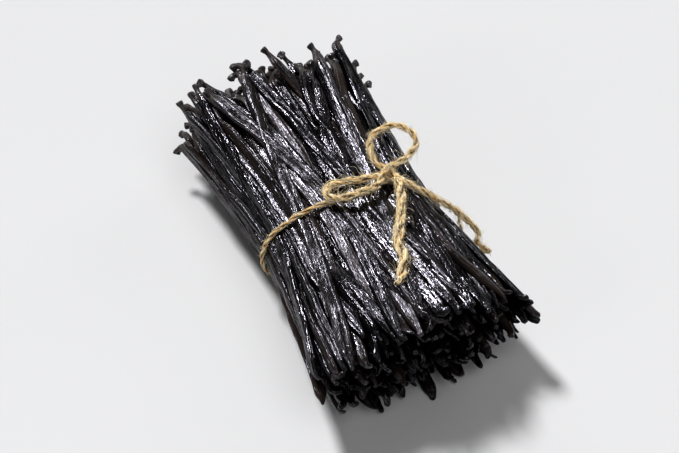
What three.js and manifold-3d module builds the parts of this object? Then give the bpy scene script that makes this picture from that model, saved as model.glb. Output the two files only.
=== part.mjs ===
// A bundle of cured vanilla pods, tied round its waist with jute twine in a bow.
// Millimetres, +Z up. X runs along the pods, from their stem ends (-X) to their blossom ends (+X),
// and the bundle lies on the plane Z = 0 with its flatter side down, its middle over the origin.
// The pods are laid out in a frame of their own, in which X = 0 is about where the twine crosses.
import * as THREE from "three";
import { mergeVertices } from "three/addons/utils/BufferGeometryUtils.js";
import Module from "manifold-3d";

const wasm = await Module();
wasm.setup();

// ---- Driving dimensions -------------------------------------------------------------------------
const POD_COUNT = 190;
const POD_HALF_WIDTH = [2.35, 3.25]; // narrowest and widest pod
const POD_FLATNESS = [0.56, 0.74]; // half thickness over half width
const STEM_END_X = [-83, -72]; // where a pod's body ends and its stem begins
const TIP_END_X = [66, 76]; // where a pod's body ends at the blossom side
const STEM = { length: 12, radius: 1.15, knob: 0.4, bend: [0.2, 2.3], shoulder: 12 }; // bend in radians
const TIP = { length: 6.5, radius: 1.4, knob: -0.2, bend: [0.1, 1.4], shoulder: 8 };

const BUNDLE_MIDDLE = { x: -5.6, y: 0.36 }; // the middle of the whole, in the pods' frame
const MIDDLE_Z = 27.5; // height of the bundle's axis
const WAIST = { width: 40, height: 24, depth: 22.6 }; // half sizes at the twine, up and down
const STEM_SIDE = { width: 48, height: 28.5, depth: 28.5 }; // and where the stems begin
const TIP_SIDE = { width: 50.5, height: 28.5, depth: 28.5 };
const ROUND_TOP = 2; // powers of the outline's superellipse, over and under the axis
const FLAT_BASE = 2.7;

const TWINE_RADIUS = 1.3;
const BAND = { x: 3.7, slant: 0.11, pull: 4, pullReach: 9 }; // slant in mm of X for each mm of Y
const KNOT = { y: 19.6, halfLength: 4.4, halfWidth: 4.6, halfHeight: 3, aside: -2.6 };
const CLEARANCE = 0.75; // from the band to the pods' true curves, which their flat faces miss a little
const FLOOR_BITE = 0.4; // how deep the lowest pods are pressed flat by what they lie on

// How the pods settle against each other.
const STATIONS = 14;
const SETTLING_ROUNDS = 70;
const PUSH = 0.3; // share of an overlap that each of two pods gives way by, each round
const STIFFNESS = 0.3; // how strongly a pod straightens itself, each round
const SQUEEZE = 0.93; // how far a pod reaches in contact, over its true size
const MOST_REACH = 6.5; // pods further apart than this never touch
const MOST_MOVE = 1; // the furthest that a pod gives way in one round

// The bow's loops and tails, as they lie: points of their middle lines, X from the twine.
const CORDS = {
  twine_loop_upright: [
    [-2.6, 18.2, 56.3], [-5.2, 16.7, 57], [-8.4, 16.3, 58.2], [-11.1, 16.7, 59.3],
    [-13.8, 18, 60.5], [-16, 19.9, 61.7], [-17.2, 22.9, 62.7], [-17.3, 26.9, 63.5],
    [-16.1, 31.5, 63.9], [-12.8, 35.3, 63.3], [-9.1, 37.1, 62.3], [-5.3, 36.5, 60.7],
    [-2.7, 33.4, 59.2], [-1.2, 29.4, 57.9], [-1, 25.9, 57.2], [-0.7, 23, 56.5],
  ],
  twine_loop_flat: [
    [-0.2, 14.4, 54.5], [-0.5, 10.9, 54.7], [-1.3, 7.4, 54.5], [-2.2, 3.9, 54.8], [-3.1, 0.5, 54.7],
    [-4, -3, 54.4], [-4.1, -6.1, 54.1], [-2.9, -8.5, 54.2], [-0.1, -10.1, 55.4],
    [3.2, -10.1, 56.5], [5.5, -8.1, 57], [6.7, -5.3, 57.2], [7.5, -2.3, 57.6], [7.9, 1, 57.7],
    [7.6, 4.8, 57.5], [7, 8.8, 57], [6.1, 12.4, 56.2],
  ],
  twine_tail_front: [
    [3.8, 21.2, 54.9], [7.6, 21.5, 55.2], [12.2, 20.1, 55], [16, 18.2, 54.6], [19.7, 16.2, 54.2],
    [23.9, 13.9, 53.9], [28.9, 10.9, 54.2], [33.7, 8, 54.9], [37, 5.3, 54.9], [40.6, 4.7, 55.3],
    [44.1, 4.5, 55.7], [48.3, 2.2, 55.7], [52.8, -0.7, 55.7], [55.7, -2.9, 55.6], [57.7, -5, 55.1],
  ],
  twine_tail_side: [
    [4.2, 24.1, 52], [7.6, 26, 51.8], [10.5, 28.5, 50.8], [12.8, 30.8, 49.3], [14.5, 33.5, 46.9],
    [16.5, 36.9, 44.1], [18.3, 40.4, 41.1], [20, 43.4, 37.8], [21.6, 46.1, 34.6], [23, 48.6, 31.4],
    [24.6, 50.5, 28.6], [26.4, 52.3, 26], [27.9, 53, 23.8], [29.3, 50.6, 22.6], [32, 52.2, 20.2],
    [34.2, 55.4, 17.2],
  ],
};

const COLOURS = { pod: 0x1b1517, twine: 0xc2a06a };
const SECTION_SIDES = 4; // a pod's flat-lying diamond section
const BODY_RINGS_X = [-28, 2, 32]; // between the shoulders, one of them under the band
const TWINE_SIDES = 8;
const BAND_STEPS = 44;
const STUB_EVERY = 4; // one in so many of the hidden pods shows its ends
const STUB_ROOT = 4; // how far a stub's root lies behind its shoulder
const CORD_STEP = 6.5; // length of one straight stretch of a loop or tail

// ---- Small helpers ------------------------------------------------------------------------------
const GOLDEN_ANGLE = Math.PI * (3 - Math.sqrt(5));
const mix = (a, b, t) => a + (b - a) * t;
const clamp01 = (t) => Math.min(1, Math.max(0, t));
const smooth = (t) => clamp01(t) ** 2 * (3 - 2 * clamp01(t));
const range = (n) => Array.from({ length: n }, (_, i) => i);

// The same number from 0 to 1 every time, for pod k and each of its traits.
function chance(k, trait) {
  const v = Math.sin(k * 12.9898 + trait * 78.233 + 0.5) * 43758.5453;
  return v - Math.floor(v);
}
const between = ([low, high], k, trait) => mix(low, high, chance(k, trait));

// ---- The pods' places ---------------------------------------------------------------------------
const FIRST_X = STEM_END_X[0] - 1;
const LAST_X = TIP_END_X[1] + 1;
const STEP_X = (LAST_X - FIRST_X) / (STATIONS - 1);
const stationX = range(STATIONS).map((i) => FIRST_X + i * STEP_X);
const outward = (x) => Math.abs(x / (x < 0 ? FIRST_X : LAST_X)); // 0 at the twine, 1 at the ends

// Half sizes of the bundle at x: narrowest at the twine, opening out to both ends.
function bundleSize(x) {
  const side = x < 0 ? STEM_SIDE : TIP_SIDE;
  const t = outward(x) ** 1.2;
  const at = (name) => mix(WAIST[name], side[name], t);
  return { width: at("width"), height: at("height"), depth: at("depth") };
}

// Each pod starts on a sunflower pattern, turned a little towards each end so that pods cross.
function growPods() {
  return range(POD_COUNT).map((k) => {
    const halfWidth = between(POD_HALF_WIDTH, k, 1);
    const halfThickness = halfWidth * between(POD_FLATNESS, k, 2);
    const rim = Math.sqrt((k + 0.5) / POD_COUNT);
    const angle = k * GOLDEN_ANGLE;
    const turns = [0, 1].map((end) => 0.9 * (chance(k, 3 + end) - 0.5) * (0.35 + chance(k, 5 + end)));
    const route = stationX.map((x) => {
      const size = bundleSize(x);
      const a = angle + turns[x < 0 ? 0 : 1] * outward(x);
      const [w, h] = [size.width - halfThickness, size.height - halfThickness];
      return [w * rim * Math.cos(a), MIDDLE_Z + h * rim * Math.sin(a)];
    });
    return { k, halfWidth, halfThickness, rim, route };
  });
}

// How far out a point lies in the outline at x, for a pod of this radius: 1 on the outline.
function howFarOut(y, z, x, radius) {
  const size = bundleSize(x);
  const [power, height] = z < 0 ? [FLAT_BASE, size.depth] : [ROUND_TOP, size.height];
  const across = Math.abs(y / (size.width - radius)) ** power;
  return (across + Math.abs(z / (height - radius)) ** power) ** (1 / power);
}

// The direction out of the bundle at a point of its section at x, as an angle.
function outwardAngle(y, z, x) {
  const size = bundleSize(x);
  return Math.atan2(z * size.width ** 2, y * size.height ** 2);
}

// Pods push each other apart wherever they overlap, stay inside the outline and above the ground.
// They lie flat along the bundle's surface, so they reach further across it than into it.
function pushApart(pods, i) {
  const moves = pods.map(() => [0, 0]);
  const facing = pods.map((pod) => {
    const a = outwardAngle(pod.route[i][0], pod.route[i][1] - MIDDLE_Z, stationX[i]);
    return [Math.cos(a), Math.sin(a)];
  });
  for (let a = 0; a < pods.length; a++)
    for (let b = a + 1; b < pods.length; b++) {
      const dy = pods[a].route[i][0] - pods[b].route[i][0];
      const dz = pods[a].route[i][1] - pods[b].route[i][1];
      if (Math.abs(dy) > MOST_REACH || Math.abs(dz) > MOST_REACH) continue;
      const ny = facing[a][0] + facing[b][0];
      const nz = facing[a][1] + facing[b][1];
      const n = Math.sqrt(ny * ny + nz * nz) + 1e-9;
      const into = (dy * ny + dz * nz) / n / (SQUEEZE * (pods[a].halfThickness + pods[b].halfThickness));
      const across = (dy * nz - dz * ny) / n / (SQUEEZE * (pods[a].halfWidth + pods[b].halfWidth));
      const apart = Math.sqrt(into * into + across * across) + 1e-9; // 1 where they just touch
      if (apart >= 1) continue;
      const give = PUSH * (1 / apart - 1);
      moves[a][0] += dy * give;
      moves[a][1] += dz * give;
      moves[b][0] -= dy * give;
      moves[b][1] -= dz * give;
    }
  pods.forEach((pod, p) => {
    const [my, mz] = moves[p].map((m) => Math.min(MOST_MOVE, Math.max(-MOST_MOVE, m)));
    const y = pod.route[i][0] + my;
    const z = pod.route[i][1] + mz - MIDDLE_Z;
    const out = Math.max(1, howFarOut(y, z, stationX[i], pod.halfThickness));
    pod.route[i] = [y / out, Math.max(z / out + MIDDLE_Z, pod.halfThickness - FLOOR_BITE)];
  });
}

// A pod is springy: each of its points moves towards the line through its neighbours.
function straighten(pod) {
  const r = pod.route.map((p) => [...p]);
  const last = STATIONS - 1;
  r.forEach((point, i) => {
    for (const c of [0, 1]) {
      let straight = 0;
      if (i === 0) straight = 2 * r[1][c] - r[2][c];
      else if (i === last) straight = 2 * r[last - 1][c] - r[last - 2][c];
      else straight = (r[i - 1][c] + r[i + 1][c]) / 2;
      pod.route[i][c] += STIFFNESS * (straight - point[c]);
    }
  });
}

function settle(pods) {
  for (let round = 0; round < SETTLING_ROUNDS; round++) {
    stationX.forEach((x, i) => pushApart(pods, i));
    pods.forEach(straighten);
  }
  return pods;
}

// A pod's middle at x, as [y, z], on a Catmull-Rom curve through its stations.
function routeAt(pod, x) {
  const at = Math.min(STATIONS - 1.001, Math.max(0, (x - FIRST_X) / STEP_X));
  const i = Math.floor(at);
  const t = at - i;
  const p = [-1, 0, 1, 2].map((d) => pod.route[Math.min(STATIONS - 1, Math.max(0, i + d))]);
  return [0, 1].map(
    (c) =>
      p[1][c] +
      0.5 * t * (p[2][c] - p[0][c] + t * (2 * p[0][c] - 5 * p[1][c] + 4 * p[2][c] - p[3][c] +
        t * (3 * (p[1][c] - p[2][c]) + p[3][c] - p[0][c]))),
  );
}

// The flat of a pod lies along the bundle's surface, give or take a tilt, and turns along the pod.
function flatAngle(pod, x) {
  const [y, z] = routeAt(pod, 0);
  const tilt = 0.7 * (chance(pod.k, 7) - 0.5);
  const twist = (1.0 * (chance(pod.k, 8) - 0.5) * x) / LAST_X;
  return outwardAngle(y, z - MIDDLE_Z, 0) + Math.PI / 2 + tilt + twist;
}

// Where a pod's body ends and a stem or tip begins: end is -1 for the stem side, +1 for the tip.
const bodyEnd = (pod, end) => between(end < 0 ? STEM_END_X : TIP_END_X, pod.k, end < 0 ? 9 : 10);

// Half width and half thickness of a pod's body at x: full, narrowing over the shoulders.
function bodySize(pod, x) {
  const shape = x < 0 ? STEM : TIP;
  const full = smooth(Math.abs(bodyEnd(pod, Math.sign(x)) - x) / shape.shoulder);
  return [mix(shape.radius, pod.halfWidth, full), mix(shape.radius, pod.halfThickness, full)];
}

// ---- Solids from rings of points ----------------------------------------------------------------
function solidFrom(positions, triangles) {
  const vertProperties = new Float32Array(positions);
  const triVerts = new Uint32Array(triangles);
  return new wasm.Manifold(new wasm.Mesh({ numProp: 3, vertProperties, triVerts }));
}

// A three.js geometry with its doubled vertices merged, so that it is one closed surface.
function sealed(geometry) {
  geometry.deleteAttribute("normal");
  geometry.deleteAttribute("uv");
  return mergeVertices(geometry);
}

function fromGeometry(geometry) {
  const merged = sealed(geometry);
  return solidFrom(merged.attributes.position.array, merged.index.array);
}

// Joins rings of the same number of [x, y, z] points into a closed solid: with a fan over each end,
// or, where it is a loop, with the last ring joined to the first.
function loft(rings, isLoop = false) {
  const n = rings[0].length;
  const triangles = [];
  range(rings.length - (isLoop ? 0 : 1)).forEach((r) =>
    range(n).forEach((i) => {
      const j = (i + 1) % n;
      const next = (r + 1) % rings.length;
      const [a, b, c, d] = [r * n + i, r * n + j, next * n + j, next * n + i];
      triangles.push(a, b, c, a, c, d);
    }),
  );
  const last = (rings.length - 1) * n;
  if (!isLoop)
    for (let i = 1; i < n - 1; i++) {
      triangles.push(0, i + 1, i);
      triangles.push(last, last + i, last + i + 1);
    }
  return solidFrom(rings.flat(2), triangles);
}

// A ring of a pod's body at x, in the plane across the bundle.
function bodyRing(pod, x) {
  const [y, z] = routeAt(pod, x);
  const [w, t] = bodySize(pod, x);
  const flat = flatAngle(pod, x);
  return range(SECTION_SIDES).map((i) => {
    const a = (2 * Math.PI * i) / SECTION_SIDES;
    const [u, v] = [w * Math.cos(a), t * Math.sin(a)];
    const py = y + u * Math.cos(flat) - v * Math.sin(flat);
    const pz = z + u * Math.sin(flat) + v * Math.cos(flat);
    return [x, py, pz];
  });
}

// A ring of the stem (end -1) or tip (end +1), a distance out from the body, on a curl that turns
// the pod aside in its own direction.
function endRing(pod, end, distance) {
  const shape = end < 0 ? STEM : TIP;
  const x0 = bodyEnd(pod, end);
  const [y0, z0] = routeAt(pod, x0);
  const [y1, z1] = routeAt(pod, x0 - end);
  const bend = mix(shape.bend[0], shape.bend[1], chance(pod.k, 11 + end) ** 2);
  const aside = 2 * Math.PI * chance(pod.k, 14 + end);
  const curve = bend / shape.length;
  const turned = curve * distance;
  const ahead = (end * Math.sin(turned)) / curve;
  const sideways = (1 - Math.cos(turned)) / curve;
  const slope = [(y0 - y1) * end * ahead, (z0 - z1) * end * ahead];
  const [c, s] = [Math.cos(aside), Math.sin(aside)];
  const knob = 1 + shape.knob * smooth((distance - 0.7 * shape.length) / (0.2 * shape.length));
  const radius = shape.radius * knob;
  const flat = flatAngle(pod, x0);
  return range(SECTION_SIDES).map((i) => {
    const a = (2 * Math.PI * i) / SECTION_SIDES + flat;
    const inPlane = radius * Math.cos(a - aside);
    const across = radius * Math.sin(a - aside);
    const x = x0 + ahead - end * inPlane * Math.sin(turned);
    const out = sideways + inPlane * Math.cos(turned);
    const y = y0 + slope[0] + out * c - across * s;
    const z = z0 + slope[1] + out * s + across * c;
    return [x, y, z];
  });
}

// A whole pod: knobbed stem, body, tip.
function podSolid(pod) {
  const [a, b] = [bodyEnd(pod, -1), bodyEnd(pod, 1)];
  const bodyX = [a, a + STEM.shoulder, ...BODY_RINGS_X, b - TIP.shoulder, b];
  return loft([
    endRing(pod, -1, STEM.length),
    endRing(pod, -1, STEM.length / 2),
    ...bodyX.map((x) => bodyRing(pod, x)),
    endRing(pod, 1, TIP.length),
  ]);
}

// The end of a pod whose body is hidden inside the bundle.
function stubSolid(pod, end) {
  const shape = end < 0 ? STEM : TIP;
  const x0 = bodyEnd(pod, end);
  const rings = [
    bodyRing(pod, x0 - end * (shape.shoulder + STUB_ROOT)),
    bodyRing(pod, x0 - end * 0.2 * shape.shoulder),
    endRing(pod, end, shape.length / 2),
    endRing(pod, end, shape.length),
  ];
  return loft(end < 0 ? rings.reverse() : rings);
}

// ---- The core, hidden under the outer pods --------------------------------------------------------
const CORE_SIDES = 20;
const CORE_X = [-74, -52, -26, 2, 27, 47, 66];
const CORE_DEPTH = 1.2; // from the outer pods' middles in to the core
const LEAST_CORE = 0.7; // the core's least share of the bundle's radius

// A pod's place in the section at x, with the bundle's outline drawn out to a unit circle.
function unitPlace(pod, x) {
  const [y, z] = routeAt(pod, x);
  const size = bundleSize(x);
  const [u, v] = [y / size.width, (z - MIDDLE_Z) / size.height];
  return { angle: Math.atan2(v, u), radius: Math.hypot(u, v) };
}

const turnBetween = (a, b) => Math.abs(Math.atan2(Math.sin(a - b), Math.cos(a - b)));

// The core's unit radius at x, for each of its sides: under the outermost pods there.
function coreOutline(pods, x) {
  const places = pods.map((pod) => unitPlace(pod, x));
  const step = (2 * Math.PI) / CORE_SIDES;
  const far = range(CORE_SIDES).map((i) => {
    const near = places.filter((p) => turnBetween(p.angle, i * step) < 0.7 * step);
    return Math.max(...near.map((p) => p.radius), LEAST_CORE);
  });
  return far.map((r, i) => {
    const [before, after] = [far.at(i - 1), far[(i + 1) % CORE_SIDES]];
    return (before + 2 * r + after) / 4 - CORE_DEPTH / WAIST.height;
  });
}

function coreSolid(outlines) {
  return loft(
    CORE_X.map((x, at) => {
      const size = bundleSize(x);
      return outlines[at].map((r, i) => {
        const a = (2 * Math.PI * i) / CORE_SIDES;
        return [x, size.width * r * Math.cos(a), MIDDLE_Z + size.height * r * Math.sin(a)];
      });
    }),
  );
}

// Pods that show along the bundle: their middle comes out of the core somewhere.
function showsOutside(pod, outlines) {
  return CORE_X.some((x, i) => {
    const { angle, radius } = unitPlace(pod, x);
    const side = Math.round((angle * CORE_SIDES) / (2 * Math.PI));
    return radius > outlines[i].at(side % CORE_SIDES);
  });
}

// The largest closed shell of a solid, which leaves out sealed hollows and loose scraps.
function outerShell(solid) {
  return solid.decompose().sort((a, b) => b.volume() - a.volume())[0];
}

// What the bundle lies on, which presses the lowest pods flat.
function groundSolid() {
  const slab = new THREE.BoxGeometry(400, 200, 20);
  slab.translate(0, 0, -10);
  return fromGeometry(slab);
}

// All the pods as one solid: the core, the pods that lie round it, and ends of those within.
function podsSolid(pods) {
  const outlines = CORE_X.map((x) => coreOutline(pods, x));
  const outer = pods.filter((pod) => showsOutside(pod, outlines));
  const stubs = pods
    .filter((pod) => !outer.includes(pod))
    .filter((pod, i) => i % STUB_EVERY === 0)
    .flatMap((pod) => [-1, 1].map((end) => stubSolid(pod, end)));
  const joined = wasm.Manifold.union([coreSolid(outlines), ...outer.map(podSolid), ...stubs]);
  return outerShell(joined.subtract(groundSolid()));
}

function toGeometry(solid) {
  const { vertProperties, triVerts, numProp } = solid.getMesh();
  if (numProp !== 3) throw new Error("expected positions only");
  const geometry = new THREE.BufferGeometry();
  geometry.setAttribute("position", new THREE.BufferAttribute(new Float32Array(vertProperties), 3));
  geometry.setIndex(new THREE.BufferAttribute(new Uint32Array(triVerts), 1));
  geometry.computeVertexNormals();
  return geometry;
}

// ---- The twine ------------------------------------------------------------------------------------
// Where the band crosses the bundle: aslant, and drawn aside where it meets the knot.
function bandX(y, z) {
  const pull = z > MIDDLE_Z ? BAND.pull * Math.exp(-(((y - KNOT.y) / BAND.pullReach) ** 2)) : 0;
  return BAND.x + BAND.slant * y - pull;
}

// How far a pod reaches from the bundle's axis at x, in a direction of the section there.
function podReach(pod, x, direction) {
  const [y, z] = routeAt(pod, x);
  const [w, t] = bodySize(pod, x);
  const turned = direction - flatAngle(pod, x);
  const middle = y * Math.cos(direction) + (z - MIDDLE_Z) * Math.sin(direction);
  return middle + Math.hypot(w * Math.cos(turned), t * Math.sin(turned));
}

// The distance from the axis to the twine's middle in each direction: a taut loop round the pods.
function bandRadii(pods) {
  const directions = range(BAND_STEPS).map((i) => (2 * Math.PI * i) / BAND_STEPS);
  const reach = directions.map((direction) =>
    Math.max(
      ...pods.map((pod) => {
        const x = bandX(...routeAt(pod, BAND.x));
        return Math.max(...[-1, 1].map((side) => podReach(pod, x + side * TWINE_RADIUS, direction)));
      }),
    ),
  );
  const offset = TWINE_RADIUS + CLEARANCE;
  return directions.map((direction) =>
    Math.min(
      ...directions.map((other, i) => {
        const facing = Math.cos(direction - other);
        return facing > 0.3 ? (reach[i] + offset) / facing : Infinity;
      }),
    ),
  );
}

function bandPath(pods) {
  return bandRadii(pods).map((radius, i) => {
    const direction = (2 * Math.PI * i) / BAND_STEPS;
    const y = radius * Math.cos(direction);
    const z = MIDDLE_Z + radius * Math.sin(direction);
    return new THREE.Vector3(bandX(y, z), y, z);
  });
}

function bandSolid(path) {
  const alongBundle = new THREE.Vector3(1, 0, 0);
  const rings = path.map((point, i) => {
    const ahead = path[(i + 1) % path.length].clone().sub(path.at(i - 1)).normalize();
    const out = new THREE.Vector3().crossVectors(ahead, alongBundle).normalize();
    const side = new THREE.Vector3().crossVectors(ahead, out);
    return range(TWINE_SIDES).map((k) => {
      const a = (2 * Math.PI * k) / TWINE_SIDES;
      const p = point.clone().addScaledVector(out, TWINE_RADIUS * Math.cos(a));
      return p.addScaledVector(side, TWINE_RADIUS * Math.sin(a)).toArray();
    });
  });
  return loft(rings, true);
}

// The knot is a flattened ball over the band, with its under side level with the band's.
function knotSolid(path) {
  const awayFromKnot = (p) => (p.z > MIDDLE_Z ? Math.abs(p.y - KNOT.y) : Infinity);
  const under = path.reduce((a, b) => (awayFromKnot(b) < awayFromKnot(a) ? b : a));
  const lean = outwardAngle(KNOT.y, under.z - MIDDLE_Z, 0) - Math.PI / 2;
  const out = new THREE.Vector3(0, -Math.sin(lean), Math.cos(lean));
  const middle = under.clone().addScaledVector(out, KNOT.halfHeight - TWINE_RADIUS);
  const ball = new THREE.SphereGeometry(1, 10, 7);
  ball.scale(KNOT.halfLength, KNOT.halfWidth, KNOT.halfHeight);
  ball.rotateX(lean);
  ball.translate(middle.x + KNOT.aside, middle.y, middle.z);
  return fromGeometry(ball);
}

// A loop or tail of the bow: a tube along a smooth curve through hand-laid points.
function cordGeometry(points) {
  const places = points.map((p) => new THREE.Vector3(...p));
  const curve = new THREE.CatmullRomCurve3(places, false, "centripetal");
  const section = new THREE.Shape(
    range(TWINE_SIDES).map((k) => {
      const a = (2 * Math.PI * k) / TWINE_SIDES;
      return new THREE.Vector2(TWINE_RADIUS * Math.cos(a), TWINE_RADIUS * Math.sin(a));
    }),
  );
  const steps = Math.round(curve.getLength() / CORD_STEP);
  const tube = new THREE.ExtrudeGeometry(section, { steps, extrudePath: curve, bevelEnabled: false });
  const merged = sealed(tube);
  merged.computeVertexNormals();
  return merged;
}


// ---- The bundle -----------------------------------------------------------------------------------
const podMaterial = new THREE.MeshStandardMaterial({ color: COLOURS.pod, roughness: 0.35 });
const twineMaterial = new THREE.MeshStandardMaterial({ color: COLOURS.twine, roughness: 0.9 });

const layout = new THREE.Group();
layout.position.set(-BUNDLE_MIDDLE.x, -BUNDLE_MIDDLE.y, 0);

function addNode(name, geometry, material) {
  const mesh = new THREE.Mesh(geometry, material);
  mesh.name = name;
  layout.add(mesh);
}

const pods = settle(growPods());
const path = bandPath(pods);
addNode("pods", toGeometry(podsSolid(pods)), podMaterial);
addNode("twine_band", toGeometry(wasm.Manifold.union([bandSolid(path), knotSolid(path)])), twineMaterial);
Object.entries(CORDS).forEach(([name, points]) => addNode(name, cordGeometry(points), twineMaterial));

const bundle = new THREE.Group();
bundle.add(layout);
export default bundle;
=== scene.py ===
"""A bundle of cured vanilla pods tied with jute twine: its looks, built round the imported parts.

Shapes are worked out in millimetres in the pods' own frame, in which X = 0 is about where the
twine crosses, and go into Blender in metres with the bundle's middle over the origin.
"""

import bpy
import numpy as np
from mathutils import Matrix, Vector


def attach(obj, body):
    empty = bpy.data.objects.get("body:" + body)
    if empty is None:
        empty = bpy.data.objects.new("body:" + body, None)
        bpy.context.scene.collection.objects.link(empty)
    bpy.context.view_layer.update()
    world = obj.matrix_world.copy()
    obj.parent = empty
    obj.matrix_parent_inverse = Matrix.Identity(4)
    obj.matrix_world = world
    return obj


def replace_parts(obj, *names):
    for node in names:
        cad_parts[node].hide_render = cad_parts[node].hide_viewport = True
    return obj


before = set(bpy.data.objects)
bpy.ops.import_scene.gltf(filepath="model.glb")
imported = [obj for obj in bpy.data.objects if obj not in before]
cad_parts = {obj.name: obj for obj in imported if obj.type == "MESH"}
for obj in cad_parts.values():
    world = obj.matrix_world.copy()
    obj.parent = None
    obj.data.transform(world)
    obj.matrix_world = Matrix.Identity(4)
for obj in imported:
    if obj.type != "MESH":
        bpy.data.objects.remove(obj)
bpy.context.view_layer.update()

MM = 0.001
BUNDLE_MIDDLE = np.array([-5.6, 0.36, 0.0])  # the middle of the whole, in the pods' frame
MIDDLE_Z = 27.5  # height of the bundle's axis
TURN = 2 * np.pi


def metres(points):
    """Points of the pods' frame, in millimetres, as points of the row frame, in metres."""
    return (np.asarray(points, float) - BUNDLE_MIDDLE) * MM


# ---- The camera ----
LOOKED_AT = Vector(metres([-1.5, -3, 27.5]))
CAMERA = {"azimuth": 64.0, "elevation": 50.4, "distance": 0.65, "lens": 76.6, "sensor": 36.0}


def put(name, data):
    """A new object in the scene."""
    thing = bpy.data.objects.new(name, data)
    bpy.context.scene.collection.objects.link(thing)
    return thing


def aim(thing, towards, distance):
    """Stands a camera or a lamp at a distance from the bundle in the direction given, facing it."""
    towards = Vector(towards).normalized()
    thing.location = LOOKED_AT + towards * distance
    thing.rotation_euler = (-towards).to_track_quat("-Z", "Y").to_euler()


def make_camera():
    """A camera round the bundle by azimuth, anticlockwise from the front, and up by elevation."""
    azimuth, elevation = np.radians([CAMERA["azimuth"], CAMERA["elevation"]])
    level = np.cos(elevation)
    camera = put("camera", bpy.data.cameras.new("camera"))
    camera.data.lens = CAMERA["lens"]
    camera.data.sensor_width = CAMERA["sensor"]
    camera.data.clip_start = 0.01
    aim(camera, (np.sin(azimuth) * level, -np.cos(azimuth) * level, np.sin(elevation)),
        CAMERA["distance"])
    bpy.context.scene.camera = camera


make_camera()


# ---- Numbers and lines ----
def mix(a, b, t):
    """a where t is 0, b where it is 1, and straight between."""
    return a + (b - a) * t


def smooth(t):
    """0 up to t = 0 and 1 from t = 1, on an S curve between."""
    t = np.clip(t, 0, 1)
    return t * t * (3 - 2 * t)


def unit(v):
    """Vectors scaled to length 1."""
    return v / np.linalg.norm(v, axis=-1, keepdims=True)


def together(*parts):
    """Arrays as the parts of vectors: drawn out to one shape and stacked along a new last axis."""
    return np.stack(np.broadcast_arrays(*parts), axis=-1)


def chance(k, trait):
    """The same number from 0 to 1 every time, for thing k and each of its traits:
    the fraction of a large multiple of sin(12.9898 k + 78.233 trait + 0.5)."""
    v = np.sin(k * 12.9898 + trait * 78.233 + 0.5) * 43758.5453
    return v - np.floor(v)


def wander(s, k, trait, pitch):
    """A slow wave along s from -1 to 1, different for each thing k: the sum of three sines of 0.5,
    0.3 and 0.2, whose pitches are 1, 0.47 and 0.23 times that given, each started at random."""
    return sum(share * np.sin(TURN * (s / (pitch * part) + chance(k, trait + i)))
               for i, (part, share) in enumerate([(1, 0.5), (0.47, 0.3), (0.23, 0.2)]))


# How far each thing wanders from its plain value, and the pitch of it, mm.
WANDERS = {
    # A ply's distance from the twine's line, as a share, and its angle; a bunch's angle, distance
    # and radius; and at a cut end its distance.
    "ply_out": (0.12, 13), "ply_angle": (0.35, 15), "bunch_angle": (0.5, 9),
    "bunch_out": (0.16, 8), "bunch_radius": (0.3, 5), "frayed": (1.0, 7),
    # A loose fibre's rise and its angle, with pitches in tenths of its length.
    "rise": (0.25, 9), "fibre_angle": (0.25, 6),
    # A pod's middle, mm, its width and thickness, as shares, and the angle of its flat; and its
    # furrows' phases and their depth.
    "middle": (0.25, 45), "width": (0.08, 34), "thickness": (0.10, 30), "flat": (0.15, 60),
    "furrow_phase": (1.1, 70), "furrow_depth": (0.7, 34),
}


def wobble(part, s, k, trait, loose=1):
    """How far a part of thing k is from its plain value at s: the looser, the further."""
    amount, pitch = WANDERS[part]
    return amount * loose * wander(s, k, trait, pitch)


def length_along(line):
    """The distance along a line up to each of its points."""
    steps = np.linalg.norm(np.diff(line, axis=0), axis=1)
    return np.concatenate([[0], np.cumsum(steps)])


def smooth_line(points, step):
    """Points a step apart along a centripetal Catmull-Rom curve through the points given: a cubic
    between each two, whose slopes come from the four nearest points and the roots of their
    distances."""
    p = np.asarray(points, float)
    p = np.vstack([2 * p[0] - p[1], p, 2 * p[-1] - p[-2]])
    root = np.sqrt(np.linalg.norm(np.diff(p, axis=0), axis=1))[:, None]
    p0, p1, p2, p3 = p[:-3], p[1:-2], p[2:-1], p[3:]
    d0, d1, d2 = root[:-2], root[1:-1], root[2:]
    slope1 = ((p1 - p0) / d0 - (p2 - p0) / (d0 + d1) + (p2 - p1) / d1) * d1
    slope2 = ((p2 - p1) / d1 - (p3 - p1) / (d1 + d2) + (p3 - p2) / d2) * d1
    t = np.linspace(0, 1, 60, endpoint=False)[None, :, None]
    square = 3 * (p2 - p1) - 2 * slope1 - slope2
    cube = 2 * (p1 - p2) + slope1 + slope2
    a, b, c, d = (x[:, None] for x in (p1, slope1, square, cube))
    line = np.vstack([(a + b * t + c * t**2 + d * t**3).reshape(-1, 3), p[-2]])
    along = length_along(line)
    at = np.linspace(0, along[-1], int(np.ceil(along[-1] / step)) + 1)
    return together(*(np.interp(at, along, v) for v in line.T))


# ---- Meshes from grids ----
def with_poles(values):
    """Values [thing, ring, corner, ...] in the order in which grid_faces numbers corners: each
    thing's rings, and then its two poles, which get the means of its first ring and its last."""
    poles = values[:, [0, -1]].mean(axis=2)
    rings = values.reshape(len(values), -1, *values.shape[3:])
    return np.concatenate([rings, poles], axis=1).reshape(-1, *values.shape[3:])


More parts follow.
